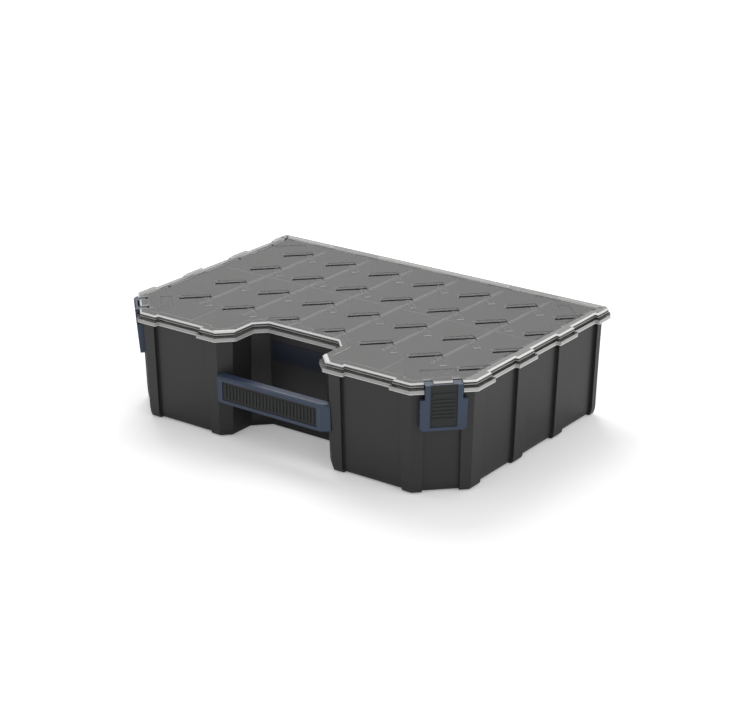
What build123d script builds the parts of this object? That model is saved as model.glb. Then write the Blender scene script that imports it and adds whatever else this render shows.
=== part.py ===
from build123d import *
import math
import os

# Organizer case for small parts: a deep moulded tray with 45 degree front corners, a carrying
# handle in a recess between two front pockets, a hinged clear lid and two corner latches.
# Millimetres. X runs along the front, -Y is the front with the handle, +Z is up, and the case
# stands on Z = 0. The plan is drawn about the middle of the lid and moved at the end, so that
# the origin lies under the middle of the whole case.

# ---- overall size, measured at the top edge of the lid -------------------------------------
lid_width = 438.0
lid_depth = 305.0
case_height = 120.0

# ---- plan of lid and case ------------------------------------------------------------------
corner_leg = 46.0            # leg of each 45 degree front corner
pocket_front = 102.0         # straight front of each pocket, between its two corners
recess_depth = 56.0          # lid edge to the back edge of the handle recess
mouth_leg = 14.0             # leg of the 45 degree face at each side of the recess mouth
recess_leg = 12.0            # leg of the 45 degree face in each inner corner of the recess
back_radius = 14.0           # rounding of the two back corners
panel_relief = 4.0           # how far the panels lie behind the posts
front_post = 21.0            # post width at both ends of a pocket front
side_end_post = 27.0         # first and last post of a side wall
side_post = 30.0             # posts between the side panels
side_panels = 3              # panels along each side wall
corner_panel = 25.4          # panel width in a front corner, at the lid edge

# ---- case walls ----------------------------------------------------------------------------
wall = 2.5                   # wall of the case
floor_thickness = 3.0
body_inset = 6.0             # case wall behind the lid edge, just under the rim
draft = 2.0                  # degrees of draft on every upright wall
rim_height = 10.5            # lid top to the bottom of its flange
bottom_round_in = 4.0        # rounding of the bottom edge, in from the wall
bottom_round_up = 8.0        # and up from the floor
bottom_round_steps = 4
bead_inset = 5.0             # sealing bead of the case, behind the lid edge
bead_height = 5.0
lid_gap = 0.3                # lid plate above the top of the case wall
embed = 1.0                  # how far a joined form reaches into the one that carries it

# ---- lid -----------------------------------------------------------------------------------
plate_thickness = 2.5
skirt_wall = 2.4
flange_reach = 2.0           # flange outside the lid edge
flange_height = 4.6
edge_bevel = 1.6
border_width = 10.0          # raised border round the sunk field
field_depth = 0.8            # how far the field lies below the border
tread_length = 35.5
tread_width = 7.6
tread_tail = 25.0            # length of the bar that turns back from each tread bar
tread_rows = 4
tread_left = 57.8            # first tread bar's middle, in from the side of the lid
tread_front = 79.0           # first tread row's middle, ahead of the plan centre
tail_side = 23.0             # middle of the turned bar, to the right of the tread bar
tail_ahead = 4.5             # and ahead of it
seat_length = 35.0           # stacking seats of the lid, one in each corner
seat_width = 12.0
seat_depth = 1.2
front_seat_inset = 30.0      # front seats, behind the 45 degree edge
back_seat_inset = 48.0       # back seats, in from the corner point

# ---- bays and dividers ---------------------------------------------------------------------
bay_pitch = 60.0
bay_count = 7
divider_thickness = 1.8
divider_headroom = 2.0       # divider top below the lid plate
divider_clearance = 0.3      # divider edge to wall
guide_gap = 0.25             # guide rib to divider face
guide_width = 1.5
guide_depth = 2.0
guide_headroom = 8.0         # guide top below the divider top

# ---- handle --------------------------------------------------------------------------------
handle_reach = 8.4           # handle front ahead of the pocket fronts
handle_inset = 7.8           # end of the flat front, in from the pocket's front corner
handle_depth = 18.5
handle_drop = 50.0           # top of the handle below the lid top
handle_height = 31.5
handle_top_round = 7.0
handle_bottom_round = 3.0
tenon_width = 6.0            # tongue at each handle end, through the pocket wall
tenon_height = 18.0
tenon_tip = 1.5              # tongue end inside the pocket
tenon_fit = 0.1
grip_inset = 7.2             # end of the ribbed insert, in from the end of the flat front
grip_height = 15.0
grip_rise = 6.0              # insert above the handle's lower edge
grip_pocket = 1.8            # depth of its seat
rib_height = 0.8
rib_width = 2.0
handle_rib_pitch = 4.0

# ---- hinges --------------------------------------------------------------------------------
knuckle_radius = 4.5
pin_radius = 1.5
pin_fit = 0.05               # radial clearance round every pin
hinge_x = 120.0              # middle of each hinge
hinge_behind = 2.6           # hinge axis behind the lid edge
hinge_drop = 7.0             # hinge axis below the lid top
lid_knuckle = 24.0           # length of the lid's knuckle
case_knuckle = 17.0          # length of each of the two case knuckles beside it
knuckle_gap = 0.5
bore_reach = 60.0            # hinge bore, to each side of the hinge's middle
bracket_drop = 18.0          # foot of the bracket under a case knuckle, below the axis

# ---- latches -------------------------------------------------------------------------------
latch_axis_inset = 4.5       # latch axis behind the 45 degree lid edge
latch_axis_drop = 4.5        # and below the lid top
latch_neck = 37.2            # width over the lid edge
latch_width = 46.6           # width of the paddle under the rim
latch_drop = 48.0            # lower end of the paddle below the lid top
shoulder_drop = 14.0         # top of the paddle below the lid top
latch_head = 3.0             # top of the latch plate above its axis
latch_thickness = 3.5
latch_front_top = 4.5        # front face ahead of the lid edge, at the axis height
latch_front_bottom = 1.2     # and at the bottom
latch_clip = 3.0             # clipped lower corners
latch_return = 3.4           # thickness of the paddle's two side returns
return_gap = 0.8             # inner edge of the returns ahead of the case wall
latch_knuckle = 19.0         # lid knuckle between the two ears
ear_gap = 0.5
notch_side = 0.7             # lid notch beside the latch neck
notch_depth = 10.2           # lid notch, in from the 45 degree edge
latch_grip_width = 27.0
latch_grip_rise = 3.6
latch_grip_pocket = 1.4
latch_rib_pitch = 4.0
latch_ribs = 7
ledge_height = 3.0           # catch ledge on the case, and the bead that snaps under it
ledge_drop = 19.0            # ledge below the lid top
ledge_reach = 3.4
ledge_length = 20.0
catch_gap = 0.4

# ---- label panel and feet ------------------------------------------------------------------
label_side = 2.0             # label panel, in from each end of the recess wall
label_drop = 21.0            # top of the label panel below the lid top
label_height = 22.0
label_thickness = 0.5
foot_height = 2.0
foot_side = 1.0              # foot smaller than the lid's seat, all round

# ---- values worked out from the sizes above ------------------------------------------------
half_width = lid_width / 2
front_y = -lid_depth / 2
back_y = lid_depth / 2
rim_z = case_height - rim_height
wall_top = case_height - plate_thickness - lid_gap
bead_bottom = wall_top - bead_height
plate_bottom = case_height - plate_thickness
tan_draft = math.tan(math.radians(draft))
mouth_x = half_width - corner_leg - pocket_front
recess_half = mouth_x - mouth_leg - recess_leg
handle_half = mouth_x - handle_inset
handle_bottom = case_height - handle_drop - handle_height
grip_half = handle_half - grip_inset
latch_bottom = case_height - latch_drop
latch_shoulder = case_height - shoulder_drop
ledge_top = case_height - ledge_drop
return_inset = body_inset - return_gap
label_half = recess_half - label_side
label_bottom = case_height - label_drop - label_height
pocket_back = front_y + recess_depth + body_inset
main_front = pocket_back + wall
main_back = back_y - body_inset - wall
cross_y = (main_front + main_back) / 2
divider_top = plate_bottom - divider_headroom
bay_floor = foot_height + floor_thickness
guide_top = divider_top - guide_headroom
divider_places = [(i - (bay_count - 2) / 2) * bay_pitch for i in range(bay_count - 1)]
hinge_y = back_y + hinge_behind
hinge_z = case_height - hinge_drop
handle_front = front_y + body_inset - handle_reach
pocket_divider_x = (half_width - corner_leg) - pocket_front / 2
plan_shift = -(hinge_y + knuckle_radius + handle_front) / 2

# Frame of the right front corner: middle of the 45 degree lid edge, out and along it
corner_mid = Vector(half_width - corner_leg / 2, front_y + corner_leg / 2)
corner_out = Vector(1, -1).normalized()
corner_along = Vector(1, 1).normalized()
latch_axis_z = case_height - latch_axis_drop
pin_reach = lid_knuckle / 2 + knuckle_gap + case_knuckle


def smooth_plan():
    """Right half of the lid edge without its panels, from the recess round to the back."""
    corner_x = half_width - corner_leg
    recess_x = mouth_x - mouth_leg
    recess_y = front_y + recess_depth
    return [
        Vector(recess_x - recess_leg, recess_y),
        Vector(recess_x, recess_y - recess_leg),
        Vector(recess_x, front_y + mouth_leg),
        Vector(mouth_x, front_y),
        Vector(corner_x, front_y),
        Vector(half_width, front_y + corner_leg),
        Vector(half_width, back_y),
    ]


def panel_spans():
    """Where the sunk panels start and end along the front, corner and side edges."""
    corner_edge = corner_leg * math.sqrt(2)
    side_edge = lid_depth - corner_leg
    posts = 2 * side_end_post + (side_panels - 1) * side_post
    side_panel = (side_edge - posts) / side_panels
    side_pitch = side_panel + side_post
    side_starts = [side_end_post + i * side_pitch for i in range(side_panels)]
    return {
        3: [(front_post, pocket_front - front_post)],
        4: [((corner_edge - corner_panel) / 2, (corner_edge + corner_panel) / 2)],
        5: [(start, start + side_panel) for start in side_starts],
    }


def half_plan(inset):
    """Right half of the plan, inset from the lid edge, with sharp corners."""
    right = smooth_plan()
    left = [Vector(-point.X, point.Y) for point in reversed(right)]
    moved = mitred(right + left, inset)
    post_inset = min(inset, body_inset)
    points = []
    for i, start in enumerate(right):
        points.append(moved[i])
        along = (right[(i + 1) % len(right)] - start).normalized()
        inward = Vector(-along.Y, along.X)
        for low, high in panel_spans().get(i, []):
            before = start + along * (low - post_inset) + inward * inset
            after = start + along * (high + post_inset) + inward * inset
            sunk = inward * panel_relief
            points += [before, before + sunk, after + sunk, after]
    return points


def mitred(points, inset):
    """The closed outline moved inwards by inset, with every corner kept sharp."""
    moved = []
    for i, corner in enumerate(points):
        before = (corner - points[i - 1]).normalized()
        after = (points[(i + 1) % len(points)] - corner).normalized()
        normal_before = Vector(-before.Y, before.X)
        normal_after = Vector(-after.Y, after.X)
        along_both = (normal_before + normal_after) / (1 + normal_before.dot(normal_after))
        moved.append(corner + along_both * inset)
    return moved


def plan_face(inset, z):
    """The plan at height z, inset from the lid edge, with its back corners rounded."""
    right = half_plan(inset)
    left = [Vector(-point.X, point.Y) for point in reversed(right)]
    face = make_face(Polyline(*right, *left, close=True))
    back_corners = face.vertices().group_by(Axis.Y)[-1]
    face = fillet(back_corners, max(back_radius - inset, edge_bevel))
    return Pos(0, 0, z) * face


def plan_block(inset, bottom, top):
    """Upright block of the plan."""
    return extrude(plan_face(inset, bottom), top - bottom)


def wall_inset(z):
    """Outer face of the drafted case wall at height z, behind the lid edge."""
    return body_inset + (rim_z - z) * tan_draft


def drafted_block(extra, bottom, top):
    """Block with the draft of the case wall, extra inside its outer face."""
    lower = plan_face(wall_inset(bottom) + extra, bottom)
    upper = plan_face(wall_inset(top) + extra, top)
    return loft([lower, upper], ruled=True)


def rounded_block():
    """Solid of the case up to its bead, with the bottom edge rounded."""
    sections = []
    for step in range(bottom_round_steps + 1):
        angle = math.radians(90 * step / bottom_round_steps)
        z = foot_height + bottom_round_up * (1 - math.cos(angle))
        extra = bottom_round_in * (1 - math.sin(angle))
        sections.append(plan_face(wall_inset(z) + extra, z))
    sections.append(plan_face(wall_inset(bead_bottom), bead_bottom))
    return loft(sections, ruled=True)


def slab(x_range, y_range, z_range):
    """Box between the given limits."""
    low = Vector(x_range[0], y_range[0], z_range[0])
    high = Vector(x_range[1], y_range[1], z_range[1])
    size = high - low
    return Pos((low + high) / 2) * Box(size.X, size.Y, size.Z)


def both_sides(shape):
    """The shape and its mirror image in the middle plane of the case."""
    return shape + mirror(shape, Plane.YZ)


def corner_slab(out_range, along_range, z_range):
    """Box in the frame of the right front corner: out from the lid edge, and along it."""
    frame = Plane(origin=corner_mid, x_dir=corner_out, z_dir=(0, 0, 1))
    box = slab(out_range, along_range, z_range)
    return frame * box


def corner_profile(points, along_range):
    """Prism of a profile drawn out from the lid edge and up, run along the right corner."""
    outline = make_face(Polyline(*points, close=True))
    start = corner_mid + corner_along * along_range[1]
    frame = Plane(origin=start, x_dir=corner_out, z_dir=-corner_along)
    return frame * extrude(outline, along_range[1] - along_range[0])


def corner_rod(radius, along_range):
    """Round bar on the latch axis of the right corner."""
    start = corner_mid + corner_along * along_range[1] - corner_out * latch_axis_inset
    frame = Plane(origin=start + Vector(0, 0, latch_axis_z), x_dir=corner_out, z_dir=-corner_along)
    length = along_range[1] - along_range[0]
    return frame * extrude(Circle(radius), length)


def hinge_rod(radius, x_range):
    """Round bar on the lid hinge axis."""
    frame = Plane(origin=(x_range[0], hinge_y, hinge_z), x_dir=(0, 1, 0), z_dir=(1, 0, 0))
    return frame * extrude(Circle(radius), x_range[1] - x_range[0])


def hinge_bore():
    """Bores for both hinge pins, longer than the knuckles."""
    ends = (hinge_x - bore_reach, hinge_x + bore_reach)
    return both_sides(hinge_rod(pin_radius + pin_fit, ends))


def case_knuckle_ranges():
    """X limits of the two case knuckles of the right hinge."""
    inner = lid_knuckle / 2 + knuckle_gap
    outer = inner + case_knuckle
    return [(hinge_x - outer, hinge_x - inner), (hinge_x + inner, hinge_x + outer)]


def guide_pair(place, limits, z_range, across_x):
    """Two slabs beside a divider at place, across X or across Y."""
    inner = divider_thickness / 2 + guide_gap
    pair = []
    for side in (-1, 1):
        span = sorted((place + side * inner, place + side * (inner + guide_width)))
        pair.append(slab(span, limits, z_range) if across_x else slab(limits, span, z_range))
    return pair


def wall_guides():
    """Guide ribs for the dividers, on the inner faces of the case walls."""
    heights = (bay_floor, guide_top)
    lining = drafted_block(wall, *heights) - drafted_block(wall + guide_depth, *heights)
    cutters = []
    for x in divider_places:
        cutters += guide_pair(x, (cross_y, back_y), heights, True)
        if abs(x) < pocket_back_inner():
            cutters += guide_pair(x, (pocket_back, cross_y), heights, True)
    for side in (-1, 1):
        wall_side = sorted((side * divider_places[-1], side * half_width))
        cutters += guide_pair(cross_y, wall_side, heights, False)
    ribs = [lining & cutter for cutter in cutters]
    for x in divider_places:
        if abs(x) > pocket_back_inner():
            ribs += guide_pair(x, (pocket_back, main_front + guide_depth), heights, True)
    for side in (-1, 1):
        x = side * pocket_divider_x
        ribs += guide_pair(x, (pocket_back - guide_depth, main_front), heights, True)
    return ribs


def pocket_back_inner():
    """Half width of the straight back wall of the recess."""
    return half_width - corner_leg - pocket_front - mouth_leg - recess_leg


def build_feet():
    """Four low stacking feet under the floor, in the places of the lid's seats."""
    length = seat_length - 2 * foot_side
    width = seat_width - 2 * foot_side
    foot = Box(length, width, foot_height + floor_thickness / 2)
    lift = (foot_height + floor_thickness / 2) / 2
    return [Pos(x, y, lift) * Rot(0, 0, turn) * foot for x, y, turn in seat_places()]


def seat_places():
    """Middle and turn of the four corner seats, front pair first."""
    front = corner_mid - corner_out * front_seat_inset
    back_in = back_seat_inset / math.sqrt(2)
    back = Vector(half_width - back_in, back_y - back_in)
    return [
        (front.X, front.Y, 45),
        (-front.X, front.Y, -45),
        (back.X, back.Y, -45),
        (-back.X, back.Y, 45),
    ]


def hinge_brackets():
    """Case knuckles of both hinges with the brackets that carry them."""
    wall_y = back_y - body_inset - wall / 2
    profile = make_face(
        Polyline(
            (wall_y, hinge_z - bracket_drop),
            (hinge_y, hinge_z - knuckle_radius),
            (hinge_y, hinge_z),
            (wall_y, hinge_z),
            close=True,
        )
    )
    pieces = []
    for x_range in case_knuckle_ranges():
        frame = Plane(origin=(x_range[0], 0, 0), x_dir=(0, 1, 0), z_dir=(1, 0, 0))
        bracket = frame * extrude(profile, case_knuckle)
        knuckle = hinge_rod(knuckle_radius, x_range)
        pieces.append(bracket + knuckle)
    return both_sides(pieces[0] + pieces[1])


def tenon_frame(side):
    """Frame on the recess mouth face, pointing into the pocket."""
    mouth_x = half_width - corner_leg - pocket_front
    middle_z = handle_bottom + handle_height / 2
    inset = wall_inset(middle_z)
    face_mid = Vector(mouth_x - mouth_leg / 2, front_y + mouth_leg / 2)
    face_mid += Vector(1, 1).normalized() * inset
    return Plane(
        origin=(side * face_mid.X, face_mid.Y, middle_z),
        x_dir=(-side, 1, 0),
        z_dir=(side, 1, 0),
    )


def build_case():
    """Moulded tray with its pockets, recess, rim bead, guides, hinge knuckles and feet."""
    outer = rounded_block() + plan_block(bead_inset, bead_bottom, wall_top)
    case = outer - drafted_block(wall, bay_floor, wall_top)
    rear_walls = slab((-half_width, half_width), (pocket_back, main_front), (bay_floor, wall_top))
    case += rear_walls & drafted_block(wall / 2, bay_floor, wall_top)
    for rib in wall_guides():
        case += rib
    for foot in build_feet():
        case += foot
    case += hinge_brackets()
    case -= hinge_bore()
    notch_half = latch_neck / 2 + notch_side
    face_out = -(body_inset + panel_relief)
    notch = corner_slab((face_out, 0), (-notch_half, notch_half), (bead_bottom - embed, case_height))
    case -= both_sides(notch)
    ledge = corner_slab(
        (face_out - wall / 2, face_out + ledge_reach),
        (-ledge_length / 2, ledge_length / 2),
        (ledge_top - ledge_height, ledge_top),
    )
    case += both_sides(ledge)
    for side in (-1, 1):
        width = tenon_width + 2 * tenon_fit
        height = tenon_height + 2 * tenon_fit
        case -= tenon_frame(side) * Box(width, height, 4 * wall)
    return case


def tread_bars():
    """Tread bars of the lid in plan, each with a bar turned back from its right end."""
    marks = []
    for column in range(bay_count):
        for row in range(tread_rows):
            x = -half_width + tread_left + column * bay_pitch
            y = -tread_front + row * bay_pitch
            marks.append(Pos(x, y) * Rot(0, 0, 45) * Rectangle(tread_length, tread_width))
            if column < bay_count - 1:
                tail = Rot(0, 0, -45) * Rectangle(tread_tail, tread_width)
                marks.append(Pos(x + tail_side, y - tail_ahead) * tail)
    return marks


def build_lid():
    """Clear lid: bevelled plate with sunk field and treads, skirt, flange and knuckles."""
    lower_edge = plan_face(0, case_height - edge_bevel)
    upper_edge = plan_face(edge_bevel, case_height)
    lid = plan_block(0, rim_z, case_height - edge_bevel)
    lid += loft([lower_edge, upper_edge], ruled=True)
    lid += plan_block(-flange_reach, rim_z, rim_z + flange_height)
    lid -= plan_block(skirt_wall, rim_z, plate_bottom)
    field = plan_face(border_width, case_height - field_depth)
    treads = Sketch() + tread_bars()
    field = field - Pos(0, 0, case_height - field_depth) * treads
    lid -= extrude(field, field_depth)
    for x, y, turn in seat_places():
        seat = Box(seat_length, seat_width, 2 * seat_depth)
        lid -= Pos(x, y, case_height) * Rot(0, 0, turn) * seat
    lid += both_sides(hinge_rod(knuckle_radius, (hinge_x - lid_knuckle / 2, hinge_x + lid_knuckle / 2)))
    for x_range in case_knuckle_ranges():
        room = (x_range[0] - knuckle_gap, x_range[1] + knuckle_gap)
        lid -= both_sides(slab(room, (main_back, hinge_y + knuckle_radius), (rim_z, plate_bottom)))
    lid -= hinge_bore()
    notch_half = latch_neck / 2 + notch_side
    notch = corner_slab((-notch_depth, corner_leg), (-notch_half, notch_half), (rim_z, case_height))
    lid -= both_sides(notch)
    knuckle_half = latch_knuckle / 2
    tongue = corner_slab(
        (-notch_depth - wall, -latch_axis_inset),
        (-knuckle_half, knuckle_half),
        (plate_bottom, case_height),
    )
    knuckle = corner_rod(knuckle_radius, (-knuckle_half, knuckle_half))
    bore = corner_rod(pin_radius + pin_fit, (-notch_half, notch_half))
    lid += both_sides(tongue + knuckle)
    lid -= both_sides(bore)
    return lid


def build_handle():
    """Carrying handle: bowed bar, tongues into both pockets and a seat for the grip."""
    end = handle_depth
    outline = make_face(
        Polyline(
            (-handle_half, handle_front),
            (handle_half, handle_front),
            (handle_half + end, handle_front + end),
            (-handle_half - end, handle_front + end),
            close=True,
        )
    )
    bar = Pos(0, 0, handle_bottom) * extrude(outline, handle_height)
    front_edges = bar.edges().filter_by(Plane.XY).filter_by(
        lambda edge: edge.center().Y < handle_front + end - embed
    )
    levels = front_edges.group_by(Axis.Z)
    bar = fillet(levels[-1], handle_top_round)
    lower = bar.edges().filter_by(Plane.XY).filter_by(
        lambda edge: edge.center().Y < handle_front + end - embed
    )
    bar = fillet(lower.group_by(Axis.Z)[0], handle_bottom_round)
    bar -= drafted_block(0, handle_bottom - embed, handle_bottom + handle_height + embed)
    seat_z = handle_bottom + grip_rise
    bar -= slab(
        (-grip_half, grip_half),
        (handle_front - embed, handle_front + grip_pocket),
        (seat_z, seat_z + grip_height),
    )
    for side in (-1, 1):
        length = wall + tenon_tip
        tongue = Pos(0, 0, length / 2) * Box(tenon_width, tenon_height, length)
        bar += tenon_frame(side) * tongue
    return bar


def build_handle_grip():
    """Soft insert of the handle with upright ribs."""
    seat_z = handle_bottom + grip_rise
    base_front = handle_front + rib_height
    grip = slab(
        (-grip_half, grip_half),
        (base_front, handle_front + grip_pocket),
        (seat_z, seat_z + grip_height),
    )
    count = int((2 * grip_half - handle_rib_pitch) // handle_rib_pitch)
    for i in range(count):
        x = (i - (count - 1) / 2) * handle_rib_pitch
        grip += slab(
            (x - rib_width / 2, x + rib_width / 2),
            (handle_front, base_front),
            (seat_z + rib_width, seat_z + grip_height - rib_width),
        )
    return grip


def latch_front(z):
    """Front face of the latch at height z, out from the lid edge."""
    slope = (latch_front_top - latch_front_bottom) / (latch_axis_z - latch_bottom)
    return latch_front_bottom + (z - latch_bottom) * slope


def latch_plate(half, bottom, top, outer, inner):
    """Plate parallel to the latch front, between outer and inner depths behind it."""
    points = [
        (latch_front(bottom) - outer, bottom),
        (latch_front(top) - outer, top),
        (latch_front(top) - inner, top),
        (latch_front(bottom) - inner, bottom),
    ]
    return corner_profile(points, (-half, half))


def build_latch():
    """Right latch: ears on the pin, neck over the lid edge, paddle and catch bead."""
    head = latch_axis_z + latch_head
    neck = latch_plate(latch_neck / 2, latch_shoulder, head, 0, latch_thickness)
    paddle = latch_plate(latch_width / 2, latch_bottom, latch_shoulder, 0, latch_thickness)
    latch = neck + paddle
    for side in (-1, 1):
        returns = corner_profile(
            [
                (latch_front(latch_bottom) - latch_thickness / 2, latch_bottom),
                (latch_front(latch_shoulder) - latch_thickness / 2, latch_shoulder),
                (-return_inset, latch_shoulder),
                (-return_inset - (latch_shoulder - latch_bottom) * tan_draft, latch_bottom),
            ],
            sorted((side * latch_width / 2, side * (latch_width / 2 - latch_return))),
        )
        latch += returns
        inner = latch_knuckle / 2 + ear_gap
        ear_range = sorted((side * inner, side * latch_neck / 2))
        ear = corner_rod(knuckle_radius, ear_range)
        ear += corner_profile(
            [
                (-latch_axis_inset, latch_axis_z - knuckle_radius),
                (latch_front(latch_axis_z) - latch_thickness / 2, latch_axis_z - knuckle_radius),
                (latch_front(head) - latch_thickness / 2, head),
                (-latch_axis_inset, head),
            ],
            ear_range,
        )
        latch += ear
    bead_out = -(body_inset + panel_relief) + ledge_reach + catch_gap
    bead_top = ledge_top - ledge_height
    bead = corner_profile(
        [
            (latch_front(bead_top) - latch_thickness / 2, bead_top),
            (bead_out, bead_top),
            (bead_out, bead_top - ledge_height / 2),
            (latch_front(bead_top) - latch_thickness, bead_top - 2 * ledge_height),
            (latch_front(bead_top) - latch_thickness / 2, bead_top - 2 * ledge_height),
        ],
        (-ledge_length / 2, ledge_length / 2),
    )
    latch += bead
    latch -= corner_rod(pin_radius + pin_fit, (-latch_neck, latch_neck))
    seat_bottom = latch_bottom + latch_grip_rise
    seat_half = latch_grip_width / 2
    latch -= latch_plate(seat_half, seat_bottom, head + embed, -embed, latch_grip_pocket)
    return latch & latch_mask(head)


def latch_mask(head):
    """Front view of the latch as a block, with its lower corners clipped."""
    half = latch_width / 2
    outline = Polyline(
        (-half, head),
        (-half, latch_bottom + latch_clip),
        (-half + latch_clip, latch_bottom),
        (half - latch_clip, latch_bottom),
        (half, latch_bottom + latch_clip),
        (half, head),
        close=True,
    )
    frame = Plane(origin=corner_mid, x_dir=corner_along, z_dir=corner_out)
    return frame * extrude(make_face(outline), corner_leg / 2, both=True)


def build_latch_grip():
    """Dark insert of the right latch with level ribs."""
    bottom = latch_bottom + latch_grip_rise
    top = latch_axis_z + latch_head
    half = latch_grip_width / 2
    grip = latch_plate(half, bottom, top, rib_height, latch_grip_pocket)
    rib_start = bottom + latch_rib_pitch
    for i in range(latch_ribs):
        z = rib_start + (i + 1) * latch_rib_pitch
        grip += latch_plate(half - rib_width, z, z + latch_rib_pitch / 2, 0, rib_height)
    return grip


def build_long_divider(x):
    """Upright plate between two bays, with guide ribs for the cross plates on both faces."""
    heights = (bay_floor, divider_top)
    room = drafted_block(wall + divider_clearance, *heights)
    half = divider_thickness / 2
    start = main_front + divider_clearance
    plate = slab((x - half, x + half), (start, back_y), heights) & room
    reach = half + guide_depth
    for rib in guide_pair(cross_y, (x - reach, x + reach), (bay_floor, guide_top), False):
        plate += rib
    return plate


def build_cross_divider(index):
    """Cross plate in the middle of bay number index."""
    heights = (bay_floor, divider_top)
    room = drafted_block(wall + divider_clearance, *heights)
    middle = (index - (bay_count - 1) / 2) * bay_pitch
    face = divider_thickness / 2 + divider_clearance
    low = middle - bay_pitch / 2 + face if index > 0 else -half_width
    high = middle + bay_pitch / 2 - face if index < bay_count - 1 else half_width
    half = divider_thickness / 2
    return slab((low, high), (cross_y - half, cross_y + half), heights) & room


def build_pocket_divider(side):
    """Cross plate that halves a front pocket."""
    heights = (bay_floor, divider_top)
    room = drafted_block(wall + divider_clearance, *heights)
    half = divider_thickness / 2
    x = side * pocket_divider_x
    return slab((x - half, x + half), (front_y, pocket_back - divider_clearance), heights) & room


def build_label():
    """Thin bare panel on the back wall of the recess."""
    heights = (label_bottom, label_bottom + label_height)
    skin = drafted_block(-label_thickness, *heights) - drafted_block(0, *heights)
    return skin & slab((-label_half, label_half), (front_y + recess_depth, main_front), heights)


def build_parts():
    """Every node of the case by name."""
    latch = build_latch()
    latch_grip = build_latch_grip()
    pin_half = latch_neck / 2
    latch_pin = corner_rod(pin_radius, (-pin_half, pin_half))
    hinge_pin = hinge_rod(pin_radius, (hinge_x - pin_reach, hinge_x + pin_reach))
    parts = {
        "case_body": build_case(),
        "lid": build_lid(),
        "handle_bar": build_handle(),
        "handle_grip": build_handle_grip(),
        "label_panel": build_label(),
    }
    paired = {
        "latch": latch,
        "latch_grip": latch_grip,
        "latch_pin": latch_pin,
        "hinge_pin": hinge_pin,
    }
    for name, shape in paired.items():
        parts[name + "_right"] = shape
        parts[name + "_left"] = mirror(shape, Plane.YZ)
    for number, x in enumerate(divider_places, start=1):
        parts[f"divider_long_{number}"] = build_long_divider(x)
    for index in range(bay_count):
        parts[f"divider_cross_{index + 1}"] = build_cross_divider(index)
    parts["divider_pocket_left"] = build_pocket_divider(-1)
    parts["divider_pocket_right"] = build_pocket_divider(1)
    return parts


os.makedirs("parts", exist_ok=True)
for node, shape in build_parts().items():
    export_step(Pos(0, plan_shift, 0) * shape, f"parts/{node}.step")
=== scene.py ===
import math

import bmesh
import bpy
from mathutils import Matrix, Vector


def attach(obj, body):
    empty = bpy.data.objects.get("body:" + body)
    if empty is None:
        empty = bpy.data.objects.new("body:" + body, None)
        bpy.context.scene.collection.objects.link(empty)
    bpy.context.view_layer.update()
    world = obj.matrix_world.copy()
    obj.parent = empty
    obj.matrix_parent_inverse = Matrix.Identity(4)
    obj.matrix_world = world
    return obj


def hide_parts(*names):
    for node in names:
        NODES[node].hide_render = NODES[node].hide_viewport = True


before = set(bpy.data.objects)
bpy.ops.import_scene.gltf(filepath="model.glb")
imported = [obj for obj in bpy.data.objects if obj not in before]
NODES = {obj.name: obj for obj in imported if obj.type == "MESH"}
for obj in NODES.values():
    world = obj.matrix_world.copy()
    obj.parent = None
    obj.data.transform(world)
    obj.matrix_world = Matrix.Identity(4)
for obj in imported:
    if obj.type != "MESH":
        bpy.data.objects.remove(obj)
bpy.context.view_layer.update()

bl_info = {
    "name": "Organizer case looks",
    "version": (1, 0, 0),
    "blender": (4, 5, 0),
    "location": "View3D > Sidebar > Case",
    "description": "Finishes, fine details and studio for a small parts organizer case",
    "category": "Object",
}

MM = 0.001


# ---- plan of the lid, in millimetres -------------------------------------------------------
FRONT = -154.85              # front and back edges
BACK = 150.15
SIDE = 219.0                 # side edges
CORNER = 46.0                # leg of the 45 degree front corners
MOUTH = 71.0                 # half of the recess mouth at the front
MOUTH_LEG = 14.0             # leg of the 45 degree edges beside it
RECESS = 45.0                # half of the straight back edge of the recess
RECESS_LEG = 12.0            # leg of the 45 degree edges beside it
RECESS_BACK = -98.85

# ---- changes of shape, in millimetres ------------------------------------------------------
RIM = 109.5                  # lower edge of the lid's flange
FLANGE_TOP = 114.2
FLANGE_NEAR = 1.5            # the flange's outer face lies outside the lid's edge by
FLANGE_FAR = 2.5             # more than the first and less than the second
FLANGE_SHIFT = 1.0           # how much further out it reaches in the looks
WALL_INSET = 6.0             # CAD wall behind the lid's edge, just under the rim
DRAFT = math.tan(math.radians(2.0))
SAME_WALL = 1.5              # a face this near to the drafted wall isn't a sunk panel
WALL_SHIFT = 3.0             # how much further out the wall stands in the looks
PANEL_SHIFT = 3.7            # the same for its sunk panels
BEAD = 112.2                 # lower edge of the tray's sealing bead
BEAD_INSET = 5.5             # its outer face lies nearer to the lid's edge than this
BEAD_SHIFT = 1.4
CORNER_ROUND = 14.0          # rounding of the back corners, in CAD and in the looks
SHARP_ROUND = 7.0
CORNER_DEPTH = 12.5          # how far in from the rounding the corners are changed
FLOOR = 2.0                  # height of the tray's underside, in CAD and in the looks
LOW_FLOOR = 0.8
ROUND_TOP = 10.0             # upper end of the rounding above the underside
NEAR_FLOOR = 0.1
WALL_BAND = 20.0             # a face further than this from every edge is no outer wall
UPRIGHT = 0.2                # least part in plan of an upright face's direction
SAME_WAY = 0.99              # cosine between directions that count as one
BACKWARD = 0.9               # Y of a direction that counts as the back's
CROSSING = 0.1               # least sine between directions that cross
WELD = 1e-6                  # metres between vertices that are merged

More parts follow.
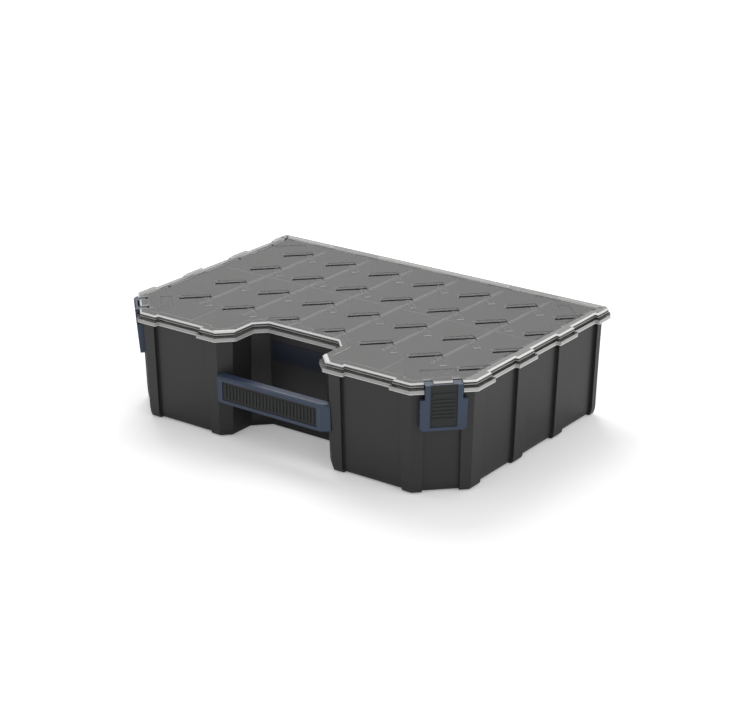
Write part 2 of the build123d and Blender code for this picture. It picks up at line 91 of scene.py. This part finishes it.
# Pairs of a place in CAD and the same place in the looks
HANDLE_LENGTH = [(0.0, 0.0), (56.0, 61.0), (63.2, 65.4), (71.0, 71.0)]
HANDLE_DEPTH = [(-157.25, -157.25), (-155.4, -155.4), (-150.25, -153.65), (-138.75, -145.25)]
HANDLE_HEIGHT = [(38.5, 43.5), (41.5, 45.5), (44.5, 48.1), (59.5, 68.6), (63.0, 69.6), (70.0, 73.0)]
LATCH_HEIGHT = [(72.0, 70.0), (106.0, 103.4), (109.5, 109.5)]
PANEL_DEPTH = [(-200.0, -203.0), (0.0, -3.0)]

RIGHT_PLAN = [
    (RECESS, RECESS_BACK),
    (RECESS + RECESS_LEG, RECESS_BACK - RECESS_LEG),
    (RECESS + RECESS_LEG, FRONT + MOUTH_LEG),
    (MOUTH, FRONT),
    (SIDE - CORNER, FRONT),
    (SIDE, FRONT + CORNER),
    (SIDE, BACK),
]


def plan_edges():
    """Start, end and outward direction of each straight edge of the lid."""
    points = [Vector(point) for point in RIGHT_PLAN]
    points += [Vector((-x, y)) for x, y in reversed(RIGHT_PLAN)]
    edges = []
    for start, end in zip(points, points[1:] + points[:1]):
        along = (end - start).normalized()
        edges.append((start, end, Vector((along.y, -along.x))))
    return edges


EDGES = plan_edges()


def wall_beside(face):
    """Inset and outward direction of the lid edge that an upright face runs along, or None."""
    plan = face.normal.to_2d()
    if plan.length < UPRIGHT:
        return None
    spot = face.calc_center_median().to_2d() / MM
    found = []
    for start, end, outward in EDGES:
        if plan.normalized().dot(outward) < SAME_WAY:
            continue
        length = (end - start).length
        along = (spot - start).dot((end - start) / length)
        inset = (start - spot).dot(outward)
        if -WALL_BAND < along < length + WALL_BAND and abs(inset) < WALL_BAND:
            found.append((abs(inset), inset, outward))
    if not found:
        return None
    return min(found, key=lambda item: item[0])[1:]


def pushed(shifts):
    """Plan move of a vertex whose faces move out by the given amounts."""
    first, amount = shifts[0]
    for second, other in shifts[1:]:
        turn = first.x * second.y - first.y * second.x
        if abs(turn) > CROSSING:
            x = (amount * second.y - other * first.y) / turn
            y = (other * first.x - amount * second.x) / turn
            return Vector((x, y))
    return first * amount


def push_walls(mesh, amount_of):
    """Moves upright outer faces outwards by what amount_of says, and returns their vertices."""
    shifts = {}
    for face in mesh.faces:
        beside = wall_beside(face)
        if beside is None:
            continue
        inset, outward = beside
        amount = amount_of(face.calc_center_median().z / MM, inset, outward)
        if amount is None:
            continue
        for vert in face.verts:
            known = shifts.setdefault(vert, [])
            if all(outward.dot(other) < SAME_WAY for other, _ in known):
                known.append((outward, amount))
    for vert, known in shifts.items():
        move = pushed(known) * MM
        vert.co.x += move.x
        vert.co.y += move.y
    return shifts


def flange_shift(height, inset, _):
    """The lid's flange reaches further out."""
    if height < FLANGE_TOP and FLANGE_NEAR < -inset < FLANGE_FAR:
        return FLANGE_SHIFT
    return None


def wall_shift(height, inset, outward):
    """The tray's outer walls stand further out, apart from the back, where the lid swings."""
    if outward.y > BACKWARD:
        return 0.0
    if height > BEAD:
        return BEAD_SHIFT if inset < BEAD_INSET else None
    wall = WALL_INSET + (RIM - height) * DRAFT
    return WALL_SHIFT if abs(inset - wall) < SAME_WALL else PANEL_SHIFT


def sharpen_corners(mesh):
    """Gives the lid's back corners a smaller rounding."""
    middle = Vector((SIDE - CORNER_ROUND, BACK - CORNER_ROUND))
    sharp_middle = Vector((SIDE - SHARP_ROUND, BACK - SHARP_ROUND))
    for vert in mesh.verts:
        arm = Vector((abs(vert.co.x), vert.co.y)) / MM - middle
        if min(arm) < -0.01 or arm.length < CORNER_ROUND - CORNER_DEPTH:
            continue
        inset = CORNER_ROUND - arm.length
        sharp = sharp_middle + arm.normalized() * (SHARP_ROUND - inset)
        vert.co.x = math.copysign(sharp.x * MM, vert.co.x)
        vert.co.y = sharp.y * MM


def change_tray(mesh):
    """Wider walls, and an underside nearer to the floor; the feet stay on it."""
    outer = push_walls(mesh, wall_shift)
    for vert in mesh.verts:
        height = vert.co.z / MM
        rounded = vert in outer and FLOOR < height < ROUND_TOP
        if rounded or abs(height - FLOOR) < NEAR_FLOOR:
            vert.co.z = between(height, [(FLOOR, LOW_FLOOR), (ROUND_TOP, ROUND_TOP)]) * MM


def change_lid(mesh):
    """A wider flange and less rounded back corners."""
    push_walls(mesh, flange_shift)
    sharpen_corners(mesh)


def between(value, knots):
    """Value mapped through (from, to) pairs, straight between them and shifted outside them."""
    if value <= knots[0][0]:
        return value + knots[0][1] - knots[0][0]
    for (low, low_to), (high, high_to) in zip(knots, knots[1:]):
        if value <= high:
            return low_to + (value - low) * (high_to - low_to) / (high - low)
    return value + knots[-1][1] - knots[-1][0]


def reshaped(node, name, body, change):
    """A copy of a CAD node's mesh, changed in shape, which stands for the node."""
    data = NODES[node].data.copy()
    data.name = name
    piece = bpy.data.objects.new(name, data)
    bpy.context.scene.collection.objects.link(piece)
    mesh = bmesh.new()
    mesh.from_mesh(data)
    bmesh.ops.remove_doubles(mesh, verts=mesh.verts, dist=WELD)
    mesh.normal_update()
    change(mesh)
    mesh.normal_update()
    mesh.to_mesh(data)
    mesh.free()
    data.update()
    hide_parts(node)
    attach(piece, body)


def mapped(*rules):
    """A change of shape from (axis, pairs) rules; X goes by its distance from the middle."""
    def change(mesh):
        for vert in mesh.verts:
            for axis, knots in rules:
                value = vert.co[axis] / MM
                size = between(abs(value), knots) if axis == 0 else between(value, knots)
                vert.co[axis] = math.copysign(size, value) * MM if axis == 0 else size * MM
    return change


# ---- shader expressions --------------------------------------------------------------------
class Wire:
    """A value or colour in a material, which takes part in Python expressions."""

    def __init__(self, finish, socket):
        self.finish = finish
        self.socket = socket

    def math(self, operation, first, *others):
        """One Math node on the given values."""
        inputs = dict(enumerate((first, *others)))
        return self.finish.node("ShaderNodeMath", {"operation": operation}, inputs)

    def __add__(self, other):
        return self.math("ADD", self, other)

    def __radd__(self, other):
        return self.math("ADD", other, self)

    def __sub__(self, other):
        return self.math("SUBTRACT", self, other)

    def __rsub__(self, other):
        return self.math("SUBTRACT", other, self)

    def __mul__(self, other):
        return self.math("MULTIPLY", self, other)

    def __rmul__(self, other):
        return self.math("MULTIPLY", other, self)

    def __gt__(self, other):
        return self.math("GREATER_THAN", self, other)

    def __lt__(self, other):
        return self.math("LESS_THAN", self, other)

    def __abs__(self):
        return self.math("ABSOLUTE", self)

    def most(self, other):
        """The larger of two values."""
        return self.math("MAXIMUM", self, other)

    def least(self, other):
        """The smaller of two values."""
        return self.math("MINIMUM", self, other)

    def ramp(self, low, high):
        """0 below low, 1 above high and smooth between them."""
        settings = {"interpolation_type": "SMOOTHSTEP"}
        inputs = {"Value": self, "From Min": low, "From Max": high}
        return self.finish.node("ShaderNodeMapRange", settings, inputs)

    def within(self, full, end):
        """1 where the value is nearer to 0 than full, and 0 further off than end."""
        return 1.0 - abs(self).ramp(full, end)

    def stripe(self, start, full, fade, end):
        """1 between full and fade, and 0 before start and after end."""
        return self.ramp(start, full) * (1.0 - self.ramp(fade, end))

    def repeated(self, first, pitch):
        """Distance to the nearest of evenly spaced places, with its sign."""
        return self.math("WRAP", self - first, pitch / 2, -pitch / 2)


class Finish:
    """A procedural material that is put together from expressions."""

    def __init__(self, name):
        self.material = bpy.data.materials.new(name)
        self.material.use_nodes = True
        self.tree = self.material.node_tree
        self.tree.nodes.clear()

    def node(self, kind, settings=None, inputs=None, output=0):
        """Adds one node: its settings first, then the values or wires of its sockets."""
        made = self.tree.nodes.new(kind)
        for name, value in (settings or {}).items():
            setattr(made, name, value)
        for place, value in (inputs or {}).items():
            if isinstance(value, Wire):
                self.tree.links.new(value.socket, made.inputs[place])
            else:
                made.inputs[place].default_value = value
        return Wire(self, made.outputs[output])

    def split(self, vector):
        """X, Y and Z of a vector."""
        return [self.node("ShaderNodeSeparateXYZ", None, {0: vector}, i) for i in range(3)]

    def place(self):
        """Where the surface is, in the piece's own frame, in metres."""
        return self.node("ShaderNodeTexCoord", output="Object")

    def facing(self):
        """Which way the surface looks, in the piece's own frame."""
        return self.node("ShaderNodeTexCoord", output="Normal")

    def noise(self, spot, scale, detail=3.0):
        """Soft noise with a mean near one half."""
        inputs = {"Vector": spot, "Scale": scale, "Detail": detail}
        return self.node("ShaderNodeTexNoise", None, inputs, 0)

    def blend(self, share, first, second):
        """Colour between first and second."""
        settings = {"data_type": "RGBA", "clamp_factor": True}
        return self.node("ShaderNodeMix", settings, {0: share, 6: first, 7: second}, 2)

    def rounded(self, radius):
        """Surface direction with its edges softened by radius."""
        return self.node("ShaderNodeBevel", {"samples": 6}, {"Radius": radius})

    def bump(self, height, strength, distance, normal):
        """Fine relief on top of the given surface direction."""
        inputs = {"Height": height, "Strength": strength, "Distance": distance, "Normal": normal}
        return self.node("ShaderNodeBump", None, inputs)

    def surface(self, **sockets):
        """Ends the material in one shader with the given sockets."""
        inputs = {name.replace("_", " "): value for name, value in sockets.items()}
        self.end(self.node("ShaderNodeBsdfPrincipled", None, inputs))
        return self.material

    def end(self, shader):
        """Joins a shader to the material's output."""
        out = self.tree.nodes.new("ShaderNodeOutputMaterial")
        self.tree.links.new(shader.socket, out.inputs["Surface"])


def colour(value):
    """A colour property as a socket's four numbers."""
    return (*value[:3], 1.0)


def shade(value, factor):
    """The colour made darker or lighter."""
    return (*[channel * factor for channel in value[:3]], 1.0)


def dress(material, *names):
    """Gives a material to CAD nodes or pieces."""
    for name in names:
        mesh = (NODES.get(name) or bpy.data.objects[name]).data
        mesh.materials.clear()
        mesh.materials.append(material)


# ---- settings ------------------------------------------------------------------------------
class CaseColours(bpy.types.PropertyGroup):
    """Colours of the case's mouldings."""

    body: bpy.props.FloatVectorProperty(
        name="Tray", description="Black moulded tray", subtype="COLOR", default=(0.017, 0.017, 0.0175)
    )
    lid: bpy.props.FloatVectorProperty(
        name="Lid", description="Smoky clear lid", subtype="COLOR", default=(0.37, 0.368, 0.365)
    )
    # colour of the paler flange band and of the painted highlight line on the ridge
    lid_edge: bpy.props.FloatVectorProperty(
        name="Lid edge", description="Ridge and flange of the lid",
        subtype="COLOR", default=(0.42, 0.415, 0.41)
    )
    trim: bpy.props.FloatVectorProperty(
        name="Trim", description="Slate blue of handle and latches",
        subtype="COLOR", default=(0.028, 0.044, 0.080)
    )
    grip: bpy.props.FloatVectorProperty(
        name="Grip", description="Ribbed soft inserts", subtype="COLOR", default=(0.012, 0.013, 0.013)
    )
    # tone of the long plates, which with the cross plates' own tone paints the bays' pattern of light
    # and shade
    divider: bpy.props.FloatVectorProperty(
        name="Divider", description="Smoky divider plates", subtype="COLOR", default=(0.115, 0.13, 0.20)
    )
    label: bpy.props.FloatVectorProperty(
        name="Panel", description="Bare panel in the recess",
        subtype="COLOR", default=(0.006, 0.009, 0.022)
    )


class StudioSettings(bpy.types.PropertyGroup):
    """Camera and lights."""

    azimuth: bpy.props.FloatProperty(
        name="Azimuth", description="Camera's turn from the front",
        default=math.radians(36.02), subtype="ANGLE"
    )
    elevation: bpy.props.FloatProperty(
        name="Elevation", description="Camera's height angle",
        default=math.radians(20.866), subtype="ANGLE"
    )
    distance: bpy.props.FloatProperty(
        name="Distance", description="Camera to its aim", default=2.1883, unit="LENGTH"
    )
    aim: bpy.props.FloatVectorProperty(
        name="Aim", description="Middle of the picture", default=(-0.0181, 0.0442, 0.0470), subtype="XYZ"
    )
    lens: bpy.props.FloatProperty(name="Lens", description="Focal length in millimetres", default=96.855)
    key: bpy.props.FloatProperty(name="Key", description="Power of the main lamp", default=26.0)
    fill: bpy.props.FloatProperty(name="Fill", description="Power of the side lamp", default=9.0)
    sky: bpy.props.FloatProperty(name="Sky", description="Level of the plain surroundings", default=0.75)


# ---- painted shade lines, painted highlight bands and other bands of the lid, in millimetres ---
TURN = math.sqrt(0.5)        # sine and cosine of 45 degrees
PITCH = 60.0                 # of the tread bars, and of the ribs along the border
TOP_FACE = 118.9             # treads and ribs lie above this height
FIELD_SIDE = 208.8           # limits of the field with the tread bars
FIELD_LEFT = -190.0
FIELD_FRONT = -109.0
FIELD_BACK = 126.0
TREAD = (-161.2, -81.35)     # middle of one tread bar
FAR_SHIFT = 1.0              # its farther long line's middle, along it
TIP_SHIFT = 0.6              # its end line's middle, across it
TAIL = (-138.2, -85.85)      # middle of one line that turns back from a tread bar
TAIL_EDGE = 3.6              # that line, from its own middle
TAIL_LOSS = 0.72             # share of it that fades on the way
TAIL_RIGHT = 172.0           # last and foremost place of such lines
TAIL_FRONT = -97.0
RIB = (-151.2, -26.35)       # middle of one back rib along X, and of one side rib along Y
RIB_END = 14.0               # a rib's thicker end, from its middle
SIDE_RIB = 206.6             # side ribs and their ends, from the middle of the case
SIDE_END = 205.0
BACK_RIB = 137.8
BACK_END = 136.4
RIB_FRONT = -87.0            # limits of the ribs
RIB_BACK = 118.0
RIB_RIGHT = 165.0
FRONT_SEAT = (174.8, -110.6)
BACK_SEAT = (185.1, 116.2)
SEAT_TURN = 45.0             # degrees
SEAT_HALF = (17.5, 6.0)
SEAT_LOW = 117.0
BORDER_SIDE = 206.0
BORDER_BACK = 137.0
MOUTH_ALONG = 9.9            # middle of the recess mouth's 45 degree band of painted highlight, from its inner end
RIDGE = 116.2                # height of the ridge round the skirt, where a highlight line is painted
LEVEL = 0.7                  # least Z of a level face's direction

# Soft limits: where a line starts, is full, fades and ends, or only where it fades and ends
NEAR_LINE, NEAR_LENGTH = (-6.2, -5.2, -3.2, -2.4), (16.5, 17.5)
FAR_LINE, FAR_LENGTH = (0.6, 1.2, 5.0, 5.8), (14.5, 16.0)
TIP_LINE, TIP_WIDTH = (14.4, 15.2, 17.2, 18.2), (3.6, 4.6)
TAIL_WIDTH, TAIL_LENGTH, TAIL_FADE = (0.8, 1.7), (12.0, 13.5), (-8.5, -3.0)
RIB_WIDTH, RIB_LENGTH = (1.1, 1.9), (14.5, 16.0)
END_WIDTH, END_LENGTH = (2.4, 3.4), (1.6, 2.6)
MOUTH_WIDTH, MOUTH_LENGTH = (4.0, 5.2), (11.0, 12.0)
SEAT_LINE = (0.7, 1.6)
BORDER_STEP = (0.0, 3.0)
RIDGE_WIDTH = (0.3, 0.6)

# Heights, and Z of the surface's direction, between which a band of the rim begins or ends
# the bevel band and the lip band are painted highlights
BEVEL_STEP, BEVEL_TILT = (118.2, 118.6), (0.9, 0.97)
FLANGE_STEP, FLANGE_TILT = (113.4, 113.8), (0.4, 0.6)
LIP_STEP = (110.0, 110.4)
UNDERSIDE = (117.2, 117.9)

# ---- fixed colours -------------------------------------------------------------------------
LID_BORDER = (0.52, 0.52, 0.51, 1.0)
LID_SKIRT = (0.030, 0.029, 0.028, 1.0)
# light grey of the painted highlights on the lid's edges
LID_HIGHLIGHT = (0.78, 0.78, 0.77, 1.0)
# near black of the painted shade lines on the lid
LID_OUTLINE_SHADE = (0.006, 0.007, 0.010, 1.0)
# near white painted highlight on the top edges of the long plates, and a fainter one on the cross plates
DIVIDER_TOP_HIGHLIGHT = (0.92, 0.93, 1.0, 1.0)
# tone of the cross plates, set apart from the long plates' to paint the bays' pattern of light and shade
CROSS_PLATE_SHADING = (0.125, 0.122, 0.105, 1.0)
CROSS_TOP_HIGHLIGHT = (0.36, 0.36, 0.38, 1.0)
PIN_STEEL = (0.55, 0.55, 0.57, 1.0)
FLOOR_PALE = (0.86, 0.86, 0.86, 1.0)
WHITE = (1, 1, 1, 1)


# ---- finishes ------------------------------------------------------------------------------
def moulded(name, base, spread, scales, detail, roughness, relief, softness):
    """Moulded plastic or rubber with soft clouds, fine grain and softened edges."""
    finish = Finish(name)
    spot = finish.place()
    cloud = finish.noise(spot, scales[0])
    grain = finish.noise(spot, scales[1], detail)
    low, high = shade(base, 1.0 - spread), shade(base, 1.0 + spread)
    return finish.surface(
        Base_Color=finish.blend(cloud.ramp(0.3, 0.7), low, high),
        Roughness=roughness + cloud * 0.10,
        Normal=finish.bump(grain, *relief, finish.rounded(softness * MM)),
    )


def plate(name, base, top, top_step, roughness):
    """A divider plate with a painted highlight on its upper edge; top_step is in metres."""
    finish = Finish(name)
    spot = finish.place()
    # painted highlight towards the upper edge
    share = finish.split(spot)[2].ramp(*top_step)
    return finish.surface(
        Base_Color=finish.blend(share, base, top),
        Roughness=roughness + finish.noise(spot, 60.0) * 0.1,
        Normal=finish.rounded(0.4 * MM),
    )


def bare_panel(base):
    """Smooth navy panel."""
    finish = Finish("panel_navy")
    cloud = finish.noise(finish.place(), 30.0)
    return finish.surface(
        Base_Color=finish.blend(cloud, shade(base, 0.9), shade(base, 1.1)),
        Roughness=0.4 + cloud * 0.1,
    )


def ground_steel():
    """Ground pins with fine scratches."""
    finish = Finish("pin_ground")
    scratch = finish.noise(finish.place(), 900.0, 4.0)
    return finish.surface(Base_Color=PIN_STEEL, Metallic=1.0, Roughness=0.22 + scratch * 0.16)


def tread_lines(x, y):
    """Painted shade along the edges of the tread bars: both long lines and the line at the right end."""
    column, row = x.repeated(TREAD[0], PITCH), y.repeated(TREAD[1], PITCH)
    along, beside = (column + row) * TURN, (row - column) * TURN
    near = beside.stripe(*NEAR_LINE) * along.within(*NEAR_LENGTH)
    far = beside.stripe(*FAR_LINE) * (along - FAR_SHIFT).within(*FAR_LENGTH)
    tip = along.stripe(*TIP_LINE) * (beside + TIP_SHIFT).within(*TIP_WIDTH)
    return near.most(far).most(tip)


def tail_lines(x, y):
    """Dark line of painted shade that turns back from the right end of each tread bar and fades."""
    column, row = x.repeated(TAIL[0], PITCH), y.repeated(TAIL[1], PITCH)
    along, beside = (column - row) * TURN, (column + row) * TURN
    line = (beside - TAIL_EDGE).within(*TAIL_WIDTH) * along.within(*TAIL_LENGTH)
    line = line * (1.0 - along.ramp(*TAIL_FADE) * TAIL_LOSS)
    return line * (x < TAIL_RIGHT) * (y > TAIL_FRONT)


def rib_lines(x, y, away):
    """Painted shade lines along the ribs by the side borders and the back border, each with a thicker
    end.
    """
    row, column = y.repeated(RIB[1], PITCH), x.repeated(RIB[0], PITCH)
    side = (away - SIDE_RIB).within(*RIB_WIDTH) * row.within(*RIB_LENGTH)
    side_end = (away - SIDE_END).within(*END_WIDTH) * (row - RIB_END).within(*END_LENGTH)
    back = (y - BACK_RIB).within(*RIB_WIDTH) * column.within(*RIB_LENGTH)
    back_end = (y - BACK_END).within(*END_WIDTH) * (column + RIB_END).within(*END_LENGTH)
    sides = side.most(side_end) * (y > RIB_FRONT) * (y < RIB_BACK)
    return sides.most(back.most(back_end) * (x < RIB_RIGHT))


def seat_rim(away, y, middle, turn):
    """Distance to the rim of a turned corner seat in plan, negative inside it."""
    cosine, sine = math.cos(math.radians(turn)), math.sin(math.radians(turn))
    right, ahead = away - middle[0], y - middle[1]
    along = right * cosine + ahead * sine
    beside = ahead * cosine - right * sine
    return (abs(along) - SEAT_HALF[0]).most(abs(beside) - SEAT_HALF[1])


def mouth_highlight_band(away, y):
    """Band of painted highlight along the 45 degree edges of the recess mouth."""
    right = away - (RECESS + RECESS_LEG)
    ahead = y - (FRONT + MOUTH_LEG)
    across = (right + ahead) * TURN
    along = (right - ahead) * TURN
    return across.within(*MOUTH_WIDTH) * (along - MOUTH_ALONG).within(*MOUTH_LENGTH)


def smoky_lid(colours):
    """Clear smoky plastic with painted shade lines along the edges of the tread bars, ribs and seats of
    its upper face, and the bands of its rim, with painted highlights on the bevel, the recess mouth, the
    ridge and the lower lip.
    """
    finish = Finish("lid_smoky")
    spot = finish.place()
    x, y, z = [axis * 1000.0 for axis in finish.split(spot)]
    nz = finish.split(finish.facing())[2]
    away = abs(x)
    field = (away < FIELD_SIDE) * (y > FIELD_FRONT) * (y < FIELD_BACK) * (x > FIELD_LEFT)
    treads = tread_lines(x, y).most(tail_lines(x, y)) * field * (z > TOP_FACE)
    ribs = rib_lines(x, y, away) * (z > TOP_FACE)
    rims = seat_rim(away, y, FRONT_SEAT, SEAT_TURN).least(seat_rim(away, y, BACK_SEAT, -SEAT_TURN))
    seats = rims.within(*SEAT_LINE) * (z > SEAT_LOW)
    # painted shade: dark, more opaque lines along the edges of the clear tread bars, ribs and seats
    outline_shade = treads.most(ribs * 0.9).most(seats * 0.7)
    border = (away - BORDER_SIDE).ramp(*BORDER_STEP).most((y - BORDER_BACK).ramp(*BORDER_STEP))
    under = (abs(nz) > LEVEL) * (z > UNDERSIDE[0]) * (z < UNDERSIDE[1])
    above = z.ramp(*BEVEL_STEP)
    skirt = 1.0 - above
    # painted highlight on the top bevel and along the recess mouth
    edge = above * (1.0 - nz.ramp(*BEVEL_TILT))
    edge = edge.most(mouth_highlight_band(away, y) * (z > BEVEL_STEP[0]))
    flange = (1.0 - z.ramp(*FLANGE_STEP)) * (1.0 - nz.ramp(*FLANGE_TILT))
    # paler flange band, and a painted highlight line along the ridge
    pale = skirt * (z - RIDGE).within(*RIDGE_WIDTH).most(flange)
    # painted highlight along the flange's lower lip
    lip_highlight = 1.0 - z.ramp(*LIP_STEP)
    tint = finish.blend(border * 0.6, colour(colours.lid), LID_BORDER)
    tint = finish.blend(skirt, tint, LID_SKIRT)
    tint = finish.blend(pale, tint, colour(colours.lid_edge))
    tint = finish.blend(edge.most(lip_highlight), tint, LID_HIGHLIGHT)
    tint = finish.blend(outline_shade, tint, LID_OUTLINE_SHADE)
    # the painted shade lines and the painted highlights are also more opaque
    cover = 0.42 + border * 0.16 + outline_shade * 0.54 + edge * 0.44 + skirt * 0.12 + pale * 0.26
    return finish.surface(
        Base_Color=tint,
        Alpha=cover * (1.0 - under * 0.96),
        Roughness=0.22 + finish.noise(spot, 30.0) * 0.06,
        IOR=1.5,
        Normal=finish.rounded(0.4 * MM),
    )


# ---- steps ---------------------------------------------------------------------------------
class CASE_OT_tray(bpy.types.Operator):
    """Shape and dress the moulded tray"""

    bl_idname = "case.tray"
    bl_label = "Tray"

    def execute(self, context):
        reshaped("case_body", "tray", "case", change_tray)
        body = context.scene.case_colours.body
        black = moulded("tray_black", body, 0.08, (14.0, 1400.0), 2.0, 0.40, (0.12, 0.00008), 0.5)
        dress(black, "tray")
        return {"FINISHED"}


class CASE_OT_lid(bpy.types.Operator):
    """Shape and dress the clear lid, with painted shade lines along its tread bars"""

    bl_idname = "case.lid"
    bl_label = "Lid"

    def execute(self, context):
        reshaped("lid", "lid_clear", "lid", change_lid)
        dress(smoky_lid(context.scene.case_colours), "lid_clear")
        return {"FINISHED"}


class CASE_OT_trim(bpy.types.Operator):
    """Shape and dress the handle, the latches and their inserts"""

    bl_idname = "case.trim"
    bl_label = "Handle and latches"

    def execute(self, context):
        handle = mapped((0, HANDLE_LENGTH), (1, HANDLE_DEPTH), (2, HANDLE_HEIGHT))
        reshaped("handle_bar", "handle_moulding", "case", handle)
        reshaped("handle_grip", "handle_insert", "case", handle)
        for side in ("right", "left"):
            paddle = mapped((2, LATCH_HEIGHT))
            reshaped("latch_" + side, "paddle_" + side, "latch_" + side, paddle)
            reshaped("latch_grip_" + side, "paddle_insert_" + side, "latch_" + side, paddle)
        colours = context.scene.case_colours
        blue = moulded(
            "trim_blue", colours.trim, 0.1, (25.0, 1600.0), 2.0, 0.36, (0.1, 0.00006), 0.5
        )
        dress(blue, "handle_moulding", "paddle_right", "paddle_left")
        soft = moulded(
            "grip_soft", colours.grip, 0.12, (40.0, 2200.0), 3.0, 0.58, (0.2, 0.00008), 0.3
        )
        dress(soft, "handle_insert", "paddle_insert_right", "paddle_insert_left")
        return {"FINISHED"}


class CASE_OT_inside(bpy.types.Operator):
    """Dress the dividers, the bare panel and the pins"""

    bl_idname = "case.inside"
    bl_label = "Dividers, panel and pins"

    def execute(self, context):
        colours = context.scene.case_colours
        smoky = plate(
            "divider_smoky", colour(colours.divider), DIVIDER_TOP_HIGHLIGHT, (0.1132, 0.1138), 0.32
        )
        dress(smoky, *[name for name in NODES if name.startswith("divider_long")])
        # the long and the cross plates are one smoky material; the cross plates' own tone is painted
        # light and shade
        grey = plate("divider_grey", CROSS_PLATE_SHADING, CROSS_TOP_HIGHLIGHT, (0.1146, 0.1152), 0.36)
        crosses = [name for name in NODES if name.startswith("divider_cross")]
        dress(grey, *crosses, "divider_pocket_left", "divider_pocket_right")
        reshaped("label_panel", "recess_panel", "case", mapped((1, PANEL_DEPTH)))
        dress(bare_panel(colours.label), "recess_panel")
        dress(ground_steel(), *[name for name in NODES if "_pin_" in name])
        return {"FINISHED"}


# ---- stage ---------------------------------------------------------------------------------
def add_floor():
    """The plain pale floor, which glows a little for the camera alone."""
    bpy.ops.object.select_all(action="DESELECT")
    bpy.ops.mesh.primitive_plane_add(size=14.0, location=(0, 0, 0))
    floor = bpy.context.object
    floor.name = "studio_floor"
    finish = Finish("floor_pale")
    seen = finish.node("ShaderNodeLightPath", output="Is Camera Ray")
    inputs = {"Base Color": FLOOR_PALE, "Roughness": 0.9}
    plain = finish.node("ShaderNodeBsdfPrincipled", None, inputs)
    glow = finish.node("ShaderNodeEmission", None, {"Color": WHITE, "Strength": seen * 0.22})
    finish.end(finish.node("ShaderNodeAddShader", None, {0: plain, 1: glow}))
    floor.data.materials.append(finish.material)


def add_world(scene, level):
    """Plain light from all around, and white where the camera looks past the floor."""
    world = bpy.data.worlds.new("studio_world")
    scene.world = world
    world.use_nodes = True
    tree = world.node_tree
    tree.nodes.clear()
    path = tree.nodes.new("ShaderNodeLightPath")
    plain = tree.nodes.new("ShaderNodeBackground")
    plain.inputs["Strength"].default_value = level
    seen = tree.nodes.new("ShaderNodeBackground")
    mix = tree.nodes.new("ShaderNodeMixShader")
    out = tree.nodes.new("ShaderNodeOutputWorld")
    for background in (plain, seen):
        background.inputs["Color"].default_value = WHITE
    tree.links.new(path.outputs["Is Camera Ray"], mix.inputs[0])
    tree.links.new(plain.outputs[0], mix.inputs[1])
    tree.links.new(seen.outputs[0], mix.inputs[2])
    tree.links.new(mix.outputs[0], out.inputs["Surface"])


def add_lamp(name, spot, aim, size, power):
    """A square soft lamp at spot that looks at aim."""
    data = bpy.data.lights.new(name, "AREA")
    data.shape = "SQUARE"
    data.size = size
    data.energy = power
    lamp = bpy.data.objects.new(name, data)
    lamp.location = spot
    lamp.rotation_euler = (Vector(aim) - Vector(spot)).to_track_quat("-Z", "Y").to_euler()
    bpy.context.scene.collection.objects.link(lamp)


def add_camera(scene, studio):
    """The camera at the photograph's viewing angle."""
    level = math.cos(studio.elevation)
    back = Vector((
        math.sin(studio.azimuth) * level,
        -math.cos(studio.azimuth) * level,
        math.sin(studio.elevation),
    ))
    data = bpy.data.cameras.new("studio_camera")
    data.sensor_fit = "HORIZONTAL"
    data.sensor_width = 36.0
    data.lens = studio.lens
    data.clip_end = 50.0
    camera = bpy.data.objects.new("studio_camera", data)
    camera.location = Vector(studio.aim) + back * studio.distance
    camera.rotation_euler = (-back).to_track_quat("-Z", "Y").to_euler()
    scene.collection.objects.link(camera)
    scene.camera = camera


class CASE_OT_stage(bpy.types.Operator):
    """Build the floor, the lamps and the camera"""

    bl_idname = "case.stage"
    bl_label = "Studio"

    def execute(self, context):
        scene = context.scene
        studio = scene.case_studio
        add_floor()
        add_world(scene, studio.sky)
        add_lamp("lamp_key", (-1.1, 1.0, 1.9), studio.aim, 1.3, studio.key)
        add_lamp("lamp_side", (2.2, -0.2, 1.0), studio.aim, 1.4, studio.fill)
        add_camera(scene, studio)
        scene.view_settings.view_transform = "Standard"
        return {"FINISHED"}


class CASE_PT_sidebar(bpy.types.Panel):
    """Buttons and settings of the case"""

    bl_idname = "CASE_PT_sidebar"
    bl_label = "Organizer case"
    bl_space_type = "VIEW_3D"
    bl_region_type = "UI"
    bl_category = "Case"

    def draw(self, context):
        for step in STEPS:
            self.layout.operator(step.bl_idname)
        for group in (context.scene.case_colours, context.scene.case_studio):
            for name in group.bl_rna.properties.keys():
                if name not in ("rna_type", "name"):
                    self.layout.prop(group, name)


STEPS = (CASE_OT_tray, CASE_OT_lid, CASE_OT_trim, CASE_OT_inside, CASE_OT_stage)
CLASSES = (CaseColours, StudioSettings, *STEPS, CASE_PT_sidebar)


def register():
    for item in CLASSES:
        bpy.utils.register_class(item)
    bpy.types.Scene.case_colours = bpy.props.PointerProperty(type=CaseColours)
    bpy.types.Scene.case_studio = bpy.props.PointerProperty(type=StudioSettings)


def unregister():
    del bpy.types.Scene.case_colours
    del bpy.types.Scene.case_studio
    for item in reversed(CLASSES):
        bpy.utils.unregister_class(item)


def main():
    register()
    for step in STEPS:
        group, name = step.bl_idname.split(".")
        getattr(getattr(bpy.ops, group), name)()


if __name__ == "__main__":
    main()
